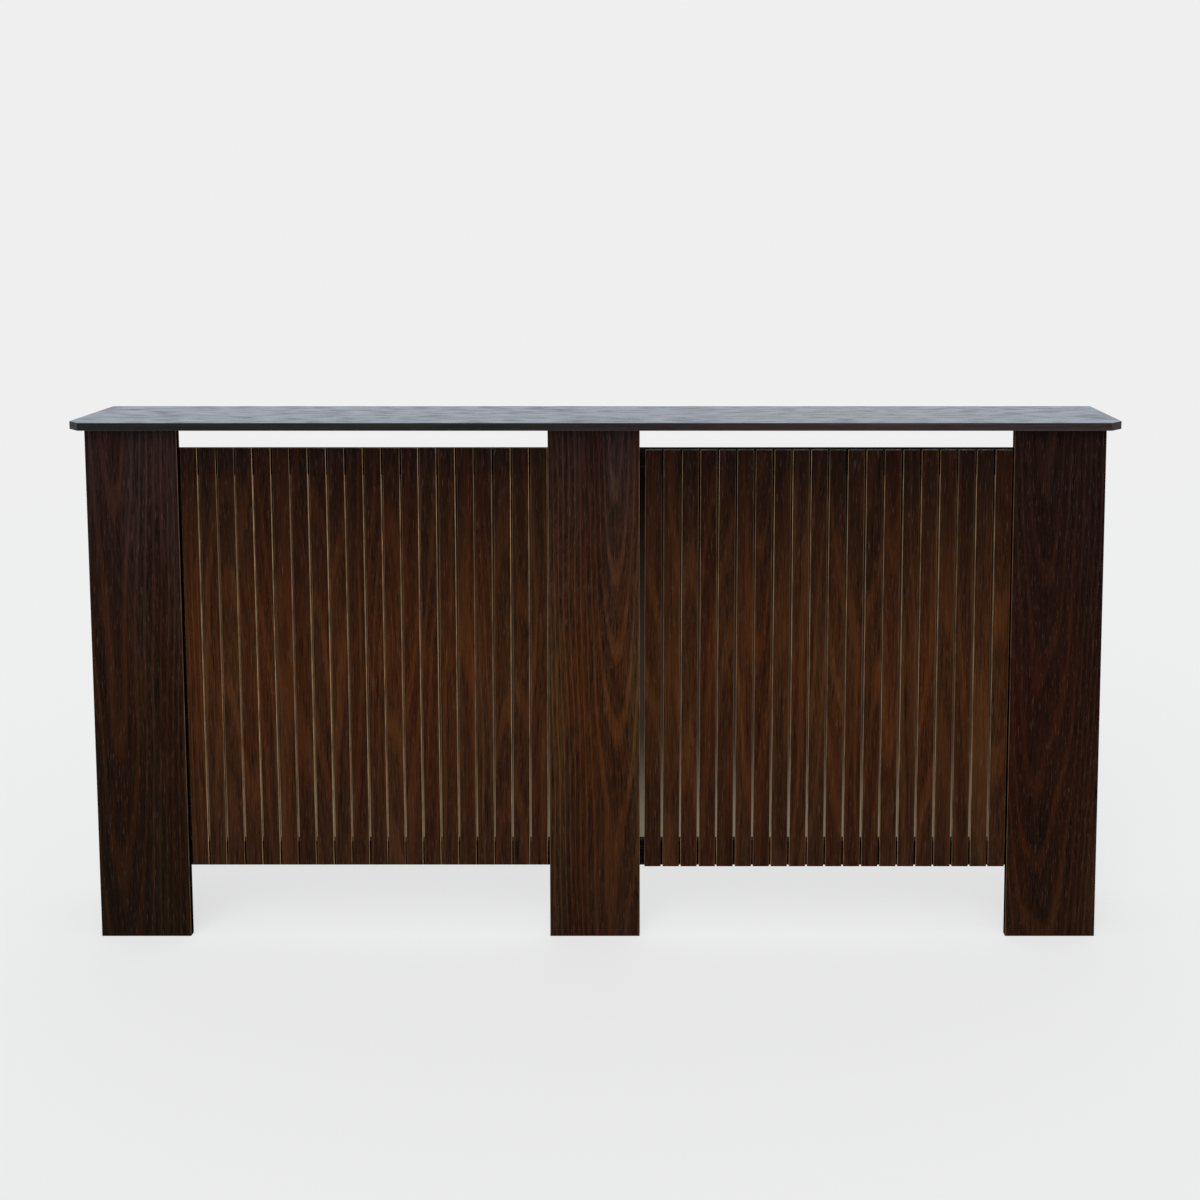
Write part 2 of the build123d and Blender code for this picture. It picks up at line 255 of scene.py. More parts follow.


# How strongly each part of the figure shows in a finish, and its colours: warm tones
# the stain here and there, glint is the light in the pores, edge what a cut edge has
# soaked up, with painted shade in it, and bare_and_lit the wood where the stain is
# rubbed or sawn off, which is also the colour of the painted highlights on arrises. A
# cut edge of a stile has soaked up more stain than its face, and is partly painted shade;
# the slats were stained before they were sawn apart, so their sides are bare wood. The
# shelf's edge band is the same veneer without the lacquer. Rails and battens are
# softwood under the same stain; its near black is partly painted shade.
STILE_STAIN = {
    "fibre": 2.7,
    "streak": 1.3,
    "band": 1.1,
    "ring": 0.7,
    "pore": 0.22,
    "warm": "#F6CFB0",
    "glint": "#6A5044",
    # near black: stain soaked into a cut edge, and partly painted shade
    "edge": "#080504",
    "soak_and_shade": 1.0,
    "bare_and_lit": "#8C684C",
    "relief": 0.4,
    "lacquered": False,
}
SLAT_STAIN = {
    **STILE_STAIN,
    "streak": 1.0,
    "band": 0.75,
    "ring": 0.5,
    "warm": "#F9DAC2",
    "edge": "#120B07",
    "bare_and_lit": "#E2B98C",
}
# The rails' near black is the stain and partly painted shade, where they show deep between the
# slats; the battens share it.
RAIL_STAIN_AND_SHADE = {**STILE_STAIN, "tint": "#080504"}
SHELF_STAIN = {
    **STILE_STAIN,
    "fibre": 2.1,
    "streak": 1.0,
    "pore": 0.2,
    "glint": "#4A3D36",
    "edge": "#060506",
    # the pale grey of the painted highlight on the shelf's arrises
    "bare_and_lit": "#4A423F",
    "relief": 0.06,
    "lacquered": True,
}
BAND_STAIN = {**SHELF_STAIN, "band": 1.6, "soak_and_shade": 0.0, "relief": 0.3, "lacquered": False}

# Oiled faces have a low soft sheen. Sawn edges have no oil on them and don't shine. The
# satin lacquer lies flat and mirrors the daylight where it is seen at a low angle.
stile_oak = stained_oak("oiled_stained_oak", "board", STILE_STAIN, 0.04, (0.48, 0.66))
stile_edge = stained_oak("sawn_stained_oak", "board", STILE_STAIN, 0.0, (0.70, 0.90))
slat_oak = stained_oak("oiled_stained_slat_oak", "board", SLAT_STAIN, 0.04, (0.48, 0.66))
slat_edge = stained_oak("sawn_slat_oak", "board", SLAT_STAIN, 0.0, (0.70, 0.90))
shelf_oak = stained_oak("lacquered_stained_oak", "board", SHELF_STAIN, 0.37, (0.06, 0.34))
shelf_band = stained_oak("stained_oak_edge_band", "board", BAND_STAIN, 0.20, (0.40, 0.60))
rail_wood = stained_oak("stained_shaded_rail_wood", "X", RAIL_STAIN_AND_SHADE, 0.04, (0.55, 0.70))
batten_wood = stained_oak("stained_shaded_batten_wood", "Z", RAIL_STAIN_AND_SHADE, 0.04, (0.55, 0.70))


def zinc_plated_steel():
    """Steel with a thin bright zinc plating: a cool grey metal. The plating clouds
    its gloss in patches about 4 mm wide, and the rolled strip under it leaves fine
    lines, drawn 1 mm apart because the real ones are too fine to show."""
    material = bpy.data.materials.new("zinc_plated_steel")
    tree = empty_tree(material)
    place = add(tree, "TexCoord", {}, {})["Object"]
    cloud = add(tree, "TexNoise", {}, {"Vector": place, "Scale": 250.0, "Detail": 3.0})["Fac"]
    grid = add(tree, "VectorMath", TIMES, {0: place, 1: (60, 1000, 1000)})[0]
    lines = add(tree, "TexNoise", {}, {"Vector": grid, "Scale": 1.0, "Detail": 1.0})["Fac"]
    greys = {FIRST: paint("#A3A7AB"), SECOND: paint("#C6C8C6")}
    colour = add(tree, "Mix", BLEND, {FACTOR: cloud, **greys})[MIXED]
    gloss = {"From Min": 0.3, "From Max": 0.7, "To Min": 0.24, "To Max": 0.46}
    shine = add(tree, "MapRange", {}, {"Value": cloud, **gloss})[0]
    bump = add(tree, "Bump", {}, {"Strength": 0.15, "Distance": 0.05 * MM, "Height": lines})[0]
    surface = add(
        tree,
        "BsdfPrincipled",
        {},
        {"Base Color": colour, "Metallic": 1.0, "Roughness": shine, "Normal": bump},
    )[0]
    add(tree, "OutputMaterial", {}, {"Surface": surface})
    return material


def turned_beech():
    """Turned beech: pale pinkish wood with darker flecks 0.6 mm wide and 4 mm long
    that run along the dowel."""
    material = bpy.data.materials.new("turned_beech")
    tree = empty_tree(material)
    place = add(tree, "TexCoord", {}, {})["Object"]
    grid = add(tree, "VectorMath", TIMES, {0: place, 1: (1600, 1600, 250)})[0]
    fleck = add(tree, "TexNoise", {}, {"Vector": grid, "Scale": 1.0, "Detail": 2.0})["Fac"]
    shade = add(
        tree, "MapRange", SMOOTH, {"Value": fleck, "From Min": 0.42, "From Max": 0.68}
    )[0]
    woods = {FIRST: paint("#D3AE85"), SECOND: paint("#A87B55")}
    colour = add(tree, "Mix", BLEND, {FACTOR: shade, **woods})[MIXED]
    bump = add(tree, "Bump", {}, {"Strength": 0.2, "Distance": 0.1 * MM, "Height": fleck})[0]
    surface = add(
        tree, "BsdfPrincipled", {}, {"Base Color": colour, "Roughness": 0.55, "Normal": bump}
    )[0]
    add(tree, "OutputMaterial", {}, {"Surface": surface})
    return material


plated = zinc_plated_steel()
dowel_beech = turned_beech()


# ---------------------------------------------------------------- boards


def stand_for(node, name, mesh):
    """Puts a new piece with this mesh in the place of a frame node."""
    piece = in_scene(name, mesh)
    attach(piece, "root")
    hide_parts(node)


def rounded_section(low, high, thick, arris, inset, columns):
    """Sections of a board, one row for each station: a rectangle from low to high
    and from zero to thick, its corners quarter circles of the arris radius, and all
    of it drawn in by the inset. Each corner point is the corner's centre plus the
    arris less the inset, times the cosine and sine of the turn. Also says how far
    each point belongs to a cut edge and whether it lies on an arris, where the pale
    worn line and its painted highlight go."""
    turn = np.linspace(0, math.pi / 2, ARRIS_STEPS + 1)
    low, high, inset = low[:, None], high[:, None], inset[:, None]
    by_cos = arris - (arris - inset) * np.cos(turn)
    by_sin = arris - (arris - inset) * np.sin(turn)
    shoulder = arris + PALE_LINE_WIDTH
    face = low + shoulder + np.linspace(0, 1, columns) * (high - low - 2 * shoulder)
    flat = inset + 0 * face
    side = np.array([shoulder, thick - shoulder]) + 0 * low
    edge = inset + 0 * side
    across = np.hstack(
        [
            low + by_cos,
            face,
            high - by_sin,
            high - edge,
            high - by_cos,
            face[:, ::-1],
            low + by_sin,
            low + edge,
        ]
    )
    deep = np.hstack(
        [
            by_sin,
            flat,
            by_cos,
            side,
            thick - by_sin,
            thick - flat,
            thick - by_cos,
            side[:, ::-1],
        ]
    )
    rising = turn / (math.pi / 2)
    none, cut, corner = np.zeros(columns), np.ones(2), np.ones(ARRIS_STEPS + 1)
    cut_edge = np.hstack([1 - rising, none, rising, cut, 1 - rising, none, rising, cut])
    worn_and_lit = np.hstack([corner, none, corner, 0 * cut, corner, none, corner, 0 * cut])
    return across, deep, cut_edge, worn_and_lit


def stations_along(length, arris, steps, extra):
    """Places along a board and how far the section is drawn in at each: a quarter
    circle of an end's smaller arris at both ends, a shoulder, and even steps and the
    extra places between. Also says how far each station has turned to the end and
    whether it lies on the end's arris."""
    turn = np.linspace(math.pi / 2, 0, ARRIS_STEPS + 1)
    end = END_ARRIS * arris
    start = end * (1 - np.sin(turn))
    drawn_in = end * (1 - np.cos(turn))
    shoulder = end + PALE_LINE_WIDTH
    extra = np.clip(extra, shoulder, length - shoulder)
    middle = np.union1d(np.linspace(shoulder, length - shoulder, steps), extra)
    places = np.hstack([start, middle, length - start[::-1]])
    inset = np.hstack([drawn_in, 0 * middle, drawn_in[::-1]])
    rounding = np.hstack([turn, 0 * middle, turn[::-1]]) / (math.pi / 2)
    in_end = np.hstack([1 + 0 * start, 0 * middle, 1 + 0 * start])
    return places, inset, rounding, in_end


def tints_along(tints, shares):
    """The colour at each share of a board's length, straight between the tints, which
    are at even places. On the upright boards the tints carry painted light and shade besides
    the stain."""
    stops = np.linspace(0, 1, len(tints))
    channels = zip(*map(paint, tints))
    return np.stack([np.interp(shares, stops, channel) for channel in channels], axis=-1)


def straight_edges(places, width):
    """A board's edges are straight unless it has its own."""
    return 0 * places, width + 0 * places


def unbent(share):
    """A board is straight unless it has its own bend."""
    return 0 * share, 0 * share


def board(
    node,
    finish,
    edge_finish,
    slot,
    along,
    face,
    pith,
    tints,
    pale_arrises,
    taper=0.0,
    shift=0.0,
    edges=straight_edges,
    bend=unbent,
    arris=BOARD_ARRIS,
    steps=24,
    columns=6,
    extra=(),
    depth_of_stain=1.0,
    raw=(0.0, 0.0),
    rail_shade_stretches=(),
):
    """A softened board in the place of a frame node.

    The section of rounded_section is carried along the board. finish covers its faces
    and edge_finish its sides and ends. along is the axis of the grain, face the axis
    and sign of the show face, edges(places, width) its two edges at each place, and
    bend(shares) how far it bows across and deep. pith is where the log's centre lies
    from the middle of the show face, across and deep, taper how fast it gets deeper
    along the board, and shift how far along the log the board was cut. tints are the
    colours at even places along the board, scaled by depth_of_stain: the stain's, with
    painted light and shade in them on the upright boards. pale_arrises is how pale the
    arrises of the two long edges and the ends are, worn and partly a painted highlight,
    and raw how far the sides and the ends were left without stain, but for the stretches
    in rail_shade_stretches, where the sides stay dark as painted shade.
    """
    low, high = (np.array(corner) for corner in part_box(node))
    deep_axis, sign = face
    across_axis = X + Y + Z - along - deep_axis
    length, width, thick = (high - low)[[along, across_axis, deep_axis]]
    places, inset, rounding, in_end = stations_along(length, arris, steps, extra)
    across, deep, cut_edge, worn_and_lit = rounded_section(
        *edges(places, width), thick, arris, inset, columns
    )
    rows, loop = across.shape
    station = np.repeat(places[:, None], loop, axis=1)
    from_pith = (
        across - width / 2 - pith[0],
        station + shift,
        deep + pith[1] + taper * station,
    )
    grain = np.stack(from_pith, axis=-1)
    bow_across, bow_deep = bend(places / length)
    across = across + bow_across[:, None]
    deep = deep + bow_deep[:, None]
    points = np.empty((rows, loop, 3))
    points[..., along] = low[along] + station
    points[..., across_axis] = low[across_axis] + across
    points[..., deep_axis] = low[deep_axis] + deep if sign < 0 else high[deep_axis] - deep

    index = np.arange(rows * loop).reshape(rows, loop)
    ahead = np.roll(index, -1, axis=1)
    quads = np.stack([index[:-1], ahead[:-1], ahead[1:], index[1:]], axis=-1).reshape(-1, 4)
    # the walk round the section is right-handed about the grain or not
    frame_of_board = np.zeros((3, 3))
    frame_of_board[0, along] = 1
    frame_of_board[1, across_axis] = 1
    frame_of_board[2, deep_axis] = -sign
    first, last = index[0][::-1], index[-1]
    if np.linalg.det(frame_of_board) < 0:
        quads, first, last = quads[:, ::-1], first[::-1], last[::-1]
    mesh = bpy.data.meshes.new(node + "_board")
    faces = quads.tolist() + [first.tolist(), last.tolist()]
    mesh.from_pydata(points.reshape(-1, 3).tolist(), [], faces)
    is_corner = np.tile((worn_and_lit * np.roll(worn_and_lit, -1)) > 0, rows - 1)
    is_round = is_corner | np.repeat((in_end[:-1] * in_end[1:]) > 0, loop)
    mesh.polygons.foreach_set("use_smooth", np.hstack([is_round, [False, False]]))
    in_edge = np.tile(cut_edge * np.roll(cut_edge, -1) == 1, rows - 1)
    mesh.materials.append(finish)
    mesh.materials.append(edge_finish)
    mesh.polygons.foreach_set("material_index", np.hstack([in_edge, [True, True]]).astype(int))

    in_side = np.tile(cut_edge, (rows, 1))
    side_pale = np.where(across < width / 2, pale_arrises[0], pale_arrises[1])
    arris_pale = np.maximum(side_pale * worn_and_lit, in_end[:, None] * pale_arrises[2])
    bare_side = np.full(rows, raw[0])
    for start, stop in rail_shade_stretches:
        bare_side[(places > start) & (places < stop)] = 0.0
    left_raw = np.maximum(in_side * bare_side[:, None], rounding[:, None] * raw[1])
    # the colours along the board: the stain's, with painted light and shade on the upright
    # boards
    stain = depth_of_stain * tints_along(tints, places / length)
    attributes = (
        ("worn_and_lit", "FLOAT", "value", np.maximum(arris_pale, left_raw)),
        ("cut_edge", "FLOAT", "value", np.maximum(in_side, rounding[:, None])),
        ("grain", "FLOAT_VECTOR", "vector", grain),
        ("tint", "FLOAT_COLOR", "color", np.repeat(stain[:, None], loop, axis=1)),
    )
    for key, kind, field, values in attributes:
        mesh.attributes.new(key, kind, "POINT").data.foreach_set(field, values.ravel())
    mesh.update()
    stand_for(node, "veneered_" + node, mesh)


def shelf_edges(places, width):
    """The shelf's front edge runs straight and turns back at 45 degrees over the
    last stretch at both ends; its rear edge is straight."""
    to_end = np.minimum(places, places.max() - places)
    return np.maximum(0.0, SHELF_CORNER_CUT - to_end), width + 0 * places


def side_edges(places, width):
    """A side panel's rear edge steps forward below the top of the skirting board."""
    return 0 * places, width - np.where(places < SKIRTING_HEIGHT, SKIRTING_DEPTH, 0.0)


def lean_right(share):
    """Straight, with its foot 0.9 mm to the left and its top as far to the right."""
    return 0.9 * MM * (2 * share - 1), 0 * share


shelf_low, shelf_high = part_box("top_shelf")
shelf_length = shelf_high[0] - shelf_low[0]
# The pale grey on the shelf's arrises, most of it on the front one, is a painted highlight.
board(
    "top_shelf",
    finish=shelf_oak,
    edge_finish=shelf_band,
    slot="shelf_veneer",
    along=X,
    face=TOP,
    pith=(0.03, 0.045),
    tints=("#080304", "#15100F", "#1A1412", "#352A2A", "#1E1717"),
    pale_arrises=(0.5, 0.2, 0.3),
    taper=0.012,
    edges=shelf_edges,
    arris=SHELF_ARRIS,
    steps=40,
    columns=8,
    extra=(SHELF_CORNER_CUT, shelf_length - SHELF_CORNER_CUT),
)

# Shades of the stain, with painted light and shade in them. An upright board has three
# of them, from its foot to its top: painted light has warmed its middle, and painted shade
# keeps it cold and deep close under the shelf.
DEEP, SHADE_UNDER_SHELF, UMBER, PLAIN = "#1B1005", "#1A0B05", "#1B0F0A", "#261508"
RED, BROWN, AMBER, WARM, COLD = "#210C04", "#2B1A0E", "#3B210C", "#3B2510", "#261918"
CHESTNUT = "#301B0D"

# The centre stile is cut near the pith and shows arches; the outer ones are
# straighter, and the right one is the darkest.
OUTER_BOARD = {
    "finish": stile_oak,
    "edge_finish": stile_edge,
    "slot": "stile_veneer",
    "along": Z,
}
# Each stile's arrises towards the middle of the cabinet are the palest: worn, and partly a
# painted highlight.
board(
    "left_stile",
    **OUTER_BOARD,
    face=FRONT,
    pith=(-0.03, 0.075),
    taper=-0.03,
    tints=(DEEP, PLAIN, COLD),
    pale_arrises=(0.0, 0.55, 0.0),
    shift=1.7,
)
board(
    "centre_stile",
    **OUTER_BOARD,
    face=FRONT,
    pith=(0.035, 0.052),
    taper=-0.045,
    tints=(BROWN, WARM, COLD),
    pale_arrises=(0.55, 0.7, 0.0),
    shift=5.1,
    bend=lean_right,
)
board(
    "right_stile",
    **OUTER_BOARD,
    face=FRONT,
    pith=(-0.02, 0.075),
    taper=-0.05,
    tints=(PLAIN, RED, UMBER),
    pale_arrises=(0.5, 0.0, 0.0),
    shift=9.3,
)
NOTCH_STEP = 0.05 * MM
for side, face, shift in (("left", LEFT, 12.4), ("right", RIGHT, 15.8)):
    board(
        side + "_side_panel",
        **OUTER_BOARD,
        face=face,
        pith=(0.09, 0.05),
        tints=(DEEP, PLAIN, COLD),
        pale_arrises=(0.2, 0.2, 0.0),
        shift=shift,
        edges=side_edges,
        extra=(SKIRTING_HEIGHT - NOTCH_STEP, SKIRTING_HEIGHT),
    )

# The slats of both grilles lean a little to the right at the top, but the first ones
# of the left grille to the left, and each strays a little in its lean, its belly and
# its bow forward. The arrises towards the middle of the cabinet are the palest: worn,
# and partly a painted highlight. The right grille's top ends were cut after staining.
# Where a rail crosses behind a slat, the slat's sides stay dark as painted shade.
SLAT_STRAY = (0.3 * MM, 0.5 * MM, 0.4 * MM)
SHADE_BORDER = 0.1 * MM
rails = [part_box("top_rail"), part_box("bottom_rail")]
draw = np.random.default_rng(27)
for side, first_lean, last_lean, worn_and_lit_edge, paleness, raw_end in (
    ("left", -0.6 * MM, 2.3 * MM, 1, 1.0, 0.0),
    ("right", 1.4 * MM, 0.2 * MM, 0, 0.75, 0.6),
):
    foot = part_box(side + "_slat_01")[0][2]
    rail_shade_stretches = [(low[2] - foot, high[2] - foot) for low, high in rails]
    borders = np.array(rail_shade_stretches).ravel()
    for number in range(1, SLATS_PER_SIDE + 1):
        share = (number - 1) / (SLATS_PER_SIDE - 1)
        lean, belly, forward = draw.uniform(-1, 1, 3) * SLAT_STRAY
        lean = lean + first_lean + share**2 * (last_lean - first_lean)

        pale_arrises = [draw.uniform(0.0, 0.25), draw.uniform(0.0, 0.25), 0.0]
        pale_arrises[worn_and_lit_edge] = paleness * draw.uniform(0.3, 0.75)

        def bow(share, lean=lean, belly=belly, forward=forward):
            """A straight lean from end to end and a parabola between the rails."""
            arch = 1 - (2 * share - 1) ** 2
            return lean * (2 * share - 1) + belly * arch, forward * arch

        board(
            f"{side}_slat_{number:02d}",
            finish=slat_oak,
            edge_finish=slat_edge,
            slot="slat_veneer",
            along=Z,
            face=FRONT,
            pith=(draw.uniform(-0.04, 0.04), draw.uniform(0.02, 0.12)),
            taper=draw.uniform(-0.04, 0.04),
            tints=(CHESTNUT, AMBER, SHADE_UNDER_SHELF),
            depth_of_stain=draw.uniform(0.86, 1.09),
            pale_arrises=pale_arrises,
            raw=(paleness * draw.uniform(0.25, 0.7), raw_end),
            rail_shade_stretches=rail_shade_stretches,
            shift=draw.uniform(0, 60),
            bend=bow,
            arris=SLAT_ARRIS,
            columns=4,
            extra=np.hstack([borders - SHADE_BORDER, borders + SHADE_BORDER]),
        )


# ---------------------------------------------------------------- screws and dowels

HEAD_RADIUS, DOME_HEIGHT = 3.45 * MM, 2.2 * MM
SHANK_RADIUS, CORE_RADIUS, THREAD_PITCH = 1.55 * MM, 1.1 * MM, 1.5 * MM
RECESS_ARM, RECESS_WIDTH, RECESS_DEPTH = 2.1 * MM, 0.7 * MM, 1.5 * MM
SCREW_SIDES, HEAD_RINGS, STEPS_PER_PITCH = 32, 12, 4
INNERMOST_RING, BLUNT_POINT = 0.04, 0.05  # shares of the head's and the shank's radius
DOWEL_RADIUS, DOWEL_CHAMFER, FLUTE_DEPTH = 3.0 * MM, 0.8 * MM, 0.35 * MM
DOWEL_SIDES, FLUTES = 64, 8


def screw_rings(domed, length):
    """One wood screw about +Z, its head's seat at zero, as rings of points.

    The head's rings go out from its middle: on a dome the radius is the head's times
    the sine of the turn and the height the dome's times its cosine; flat otherwise,
    with a cone back to the shank. The cross recess sinks a point by its depth times
    how far it lies inside an arm, along and across. The shank's radius is the core
    plus the thread, a triangle wave of the depth over the pitch less the share of a
    turn, and its last two pitches taper to the point.
    """
    turn = np.linspace(0, 2 * math.pi, SCREW_SIDES, endpoint=False)
    out = np.linspace(INNERMOST_RING, 1, HEAD_RINGS)[:, None]
    if domed:
        radius = HEAD_RADIUS * np.sin(out * math.pi / 2)
        height = DOME_HEIGHT * np.cos(out * math.pi / 2)
        neck = 0.0
    else:
        radius = HEAD_RADIUS * out
        height = 0 * out
        neck = SHANK_RADIUS - HEAD_RADIUS
    along_arm = np.clip(1 - radius / RECESS_ARM, 0, 1) ** 0.5
    off_arm = radius * np.minimum(abs(np.sin(turn)), abs(np.cos(turn)))
    across_arm = np.clip(1.5 - 2 * off_arm / RECESS_WIDTH, 0, 1)
    head_height = height - RECESS_DEPTH * along_arm * across_arm

    depth = np.arange(neck, -length, -THREAD_PITCH / STEPS_PER_PITCH)[:, None]
    wave = (-depth / THREAD_PITCH - turn / (2 * math.pi)) % 1
    ridge = CORE_RADIUS + (SHANK_RADIUS - CORE_RADIUS) * (1 - abs(2 * wave - 1)) ** 2
    thread = ridge * np.clip((length + depth) / (2 * THREAD_PITCH), BLUNT_POINT, 1)
    thread[0] = SHANK_RADIUS
    rings = np.vstack([radius + 0 * turn, thread])
    heights = np.vstack([head_height, depth + 0 * turn])
    return np.stack([rings * np.cos(turn), rings * np.sin(turn), heights], axis=-1)


def dowel_rings(length):
    """One fluted dowel below its top end at zero, as rings of points: the radius less
    a flute's depth times the positive part of the cosine of as many turns as it has
    flutes, with both ends chamfered."""
    turn = np.linspace(0, 2 * math.pi, DOWEL_SIDES, endpoint=False)
    from_end = np.array([0, DOWEL_CHAMFER])
    height = -np.hstack([from_end, np.linspace(0.2, 0.8, 4) * length, length - from_end[::-1]])
    cut = np.clip(DOWEL_CHAMFER + np.maximum(height, -length - height), 0, None)[:, None]
    radius = DOWEL_RADIUS - FLUTE_DEPTH * np.maximum(0, np.cos(FLUTES * turn)) - cut
    heights = height[:, None] + 0 * turn
    return np.stack([radius * np.cos(turn), radius * np.sin(turn), heights], axis=-1)


def copies_of(rings, node, places, prefix, finish):
    """Copies of one turned piece that replace a frame node of them.

    places are pairs of a place and the direction that the piece's +Z faces. Its own
    axes turn to two square directions and that one by a matrix product.
    """
    copies = []
    for place, outward in places:
        outward = np.array(outward, dtype=float)
        side = np.roll(outward, 1)
        turned = np.stack([side, np.cross(outward, side), outward])
        copies.append(rings @ turned + np.array(place))
    points = np.array(copies)
    index = np.arange(points.size // 3).reshape(points.shape[:3])
    ahead = np.roll(index, -1, axis=2)
    quads = np.stack([index[:, :-1], index[:, 1:], ahead[:, 1:], ahead[:, :-1]], axis=-1)
    faces = quads.reshape(-1, 4).tolist()
    faces += index[:, 0].tolist() + index[:, -1, ::-1].tolist()
    mesh = bpy.data.meshes.new(prefix + node)
    mesh.from_pydata(points.reshape(-1, 3).tolist(), [], faces)
    mesh.materials.append(finish)
    mesh.update()
    stand_for(node, prefix + node, mesh)


def screw_group(node, domed, length, heads):
    """Screws of one length, each at the place of its head and facing out of the wood."""
    copies_of(screw_rings(domed, length), node, heads, "threaded_", plated)


def about(middle, spacing):
    """Two places this far apart, about a middle."""
    return (middle - spacing / 2, middle + spacing / 2)


# The rails' screws sit flush in their backs, two behind each stile.
RAIL_SCREW, OUTER_PAIR, CENTRE_PAIR = 18 * MM, 50 * MM, 80 * MM
rail_back = rails[0][1][1]
lap_middle = (rails[0][1][0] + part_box("right_stile")[0][0]) / 2
centre_low, centre_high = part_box("centre_stile")
rail_screw_xs = (
    *about(-lap_middle, OUTER_PAIR),
    *about((centre_low[0] + centre_high[0]) / 2, CENTRE_PAIR),
    *about(lap_middle, OUTER_PAIR),
)
rail_heights = [(low[2] + high[2]) / 2 for low, high in rails]
rail_heads = [((x, rail_back, z), (0, 1, 0)) for x in rail_screw_xs for z in rail_heights]
screw_group("rail_screws", False, RAIL_SCREW, rail_heads)

# Four screws in each corner batten go forwards into the stile and, a little higher,
# four more go out into the side panel.
BATTEN_SCREW, HIGHER, SCREWS_A_WAY = 25 * MM, 30 * MM, 4
LOWEST, BELOW_TOP = 60 * MM, 90 * MM
batten_low, batten_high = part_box("right_corner_batten")
batten_middle = (batten_low + batten_high) / 2
batten_zs = np.linspace(batten_low[2] + LOWEST, batten_high[2] - BELOW_TOP, SCREWS_A_WAY)
batten_heads = []
for out in (-1, 1):
    for z in batten_zs:
        batten_heads += [
            ((out * batten_middle[0], batten_high[1], z), (0, 1, 0)),
            ((out * batten_low[0], batten_middle[1], z + HIGHER), (-out, 0, 0)),
        ]
screw_group("batten_screws", False, BATTEN_SCREW, batten_heads)

# The angles' round-headed screws go up into the shelf and out into the side panels,
# and each wall bracket has two into the shelf.
STEEL, BRACKET_SCREW = 2 * MM, 9 * MM
ANGLE_WIDTH, ANGLE_LEG = 18 * MM, 25 * MM
BRACKET_WIDTH, BRACKET_PAIR = 50 * MM, 30 * MM
under_steel = shelf_low[2] - STEEL
angle_low, angle_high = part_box("shelf_angles")
bracket_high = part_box("wall_brackets")[1]
angle_ys = (angle_low[1] + ANGLE_WIDTH / 2, angle_high[1] - ANGLE_WIDTH / 2)
screw_inset = (ANGLE_LEG + STEEL) / 2
outer_bracket = bracket_high[0] - BRACKET_WIDTH / 2
bracket_heads = [
    ((x, bracket_high[1] - screw_inset, under_steel), (0, 0, -1))
    for middle in (-outer_bracket, 0.0, outer_bracket)
    for x in about(middle, BRACKET_PAIR)
]
for out in (-1, 1):
    for y in angle_ys:
        bracket_heads += [
            ((out * (angle_high[0] - screw_inset), y, under_steel), (0, 0, -1)),
            ((out * (angle_high[0] - STEEL), y, shelf_low[2] - screw_inset), (-out, 0, 0)),
        ]
screw_group("bracket_screws", True, BRACKET_SCREW, bracket_heads)

# Two dowels join each stile to the shelf, and two each side panel, between its angles.
DOWEL_PAIR = 80 * MM
dowel_low, dowel_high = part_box("shelf_dowels")
stile_y = (centre_low[1] + centre_high[1]) / 2
stiles = [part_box(side + "_stile") for side in ("left", "centre", "right")]
panel_low, panel_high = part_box("right_side_panel")
panel_middle = (panel_low[0] + panel_high[0]) / 2
dowel_places = [
    (x, stile_y) for low, high in stiles for x in about((low[0] + high[0]) / 2, DOWEL_PAIR)
]
dowel_places += [
    (out * panel_middle, y) for out in (-1, 1) for y in np.linspace(*angle_ys, 4)[1:3]
]
copies_of(
    dowel_rings(dowel_high[2] - dowel_low[2]),
    "shelf_dowels",
    [((x, y, dowel_high[2]), (0, 0, 1)) for x, y in dowel_places],
    "fluted_",
    dowel_beech,
)


# ---------------------------------------------------------------- the frame's own shapes

CARRIED_OVER = {
    "top_rail": rail_wood,
    "bottom_rail": rail_wood,
    "left_corner_batten": batten_wood,
    "right_corner_batten": batten_wood,
    "shelf_angles": plated,
    "wall_brackets": plated,
    "left_slat_pins": plated,
    "right_slat_pins": plated,
}
for node, finish in CARRIED_OVER.items():
    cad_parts[node].data.materials.clear()
    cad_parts[node].data.materials.append(finish)


# ---------------------------------------------------------------- studio

PALE = paint("#EFEFEF")


def backdrop_rays(tree):
    """The Light Path's outputs, and the rays among them that see the pale backdrop
    itself: from the camera, in a reflection, or through something clear."""
    ray = add(tree, "LightPath", {}, {})
    shown = add(
        tree, "Math", {"operation": "ADD"}, {0: ray["Is Camera Ray"], 1: ray["Is Glossy Ray"]}
    )[0]
    shown = add(
        tree,
        "Math",
        {"operation": "ADD", "use_clamp": True},
        {0: shown, 1: ray["Is Transmission Ray"]},
    )[0]
    return ray, shown


# The floor keeps the object's shadow near it and fades into the backdrop beyond.
FLOOR_RADIUS, FLOOR_SIDES = 30.0, 64
floor_mesh = bpy.data.meshes.new("studio_floor")
turn = np.linspace(0, 2 * math.pi, FLOOR_SIDES, endpoint=False)
rim = np.stack([FLOOR_RADIUS * np.cos(turn), FLOOR_RADIUS * np.sin(turn), 0 * turn], axis=-1)
floor_mesh.from_pydata(rim.tolist(), [], [list(range(FLOOR_SIDES))])
floor_paint = bpy.data.materials.new("pale_studio_floor")
tree = empty_tree(floor_paint)
shown = backdrop_rays(tree)[1]
place = add(tree, "TexCoord", {}, {})["Object"]
distance = add(tree, "VectorMath", {"operation": "LENGTH"}, {0: place})["Value"]
far = add(
    tree,
    "MapRange",
    SMOOTH,
    {"Value": distance, "From Min": 1.0, "From Max": 6.0, "To Min": 0.72},
)[0]
blend = add(tree, "Math", TIMES, {0: far, 1: shown})[0]
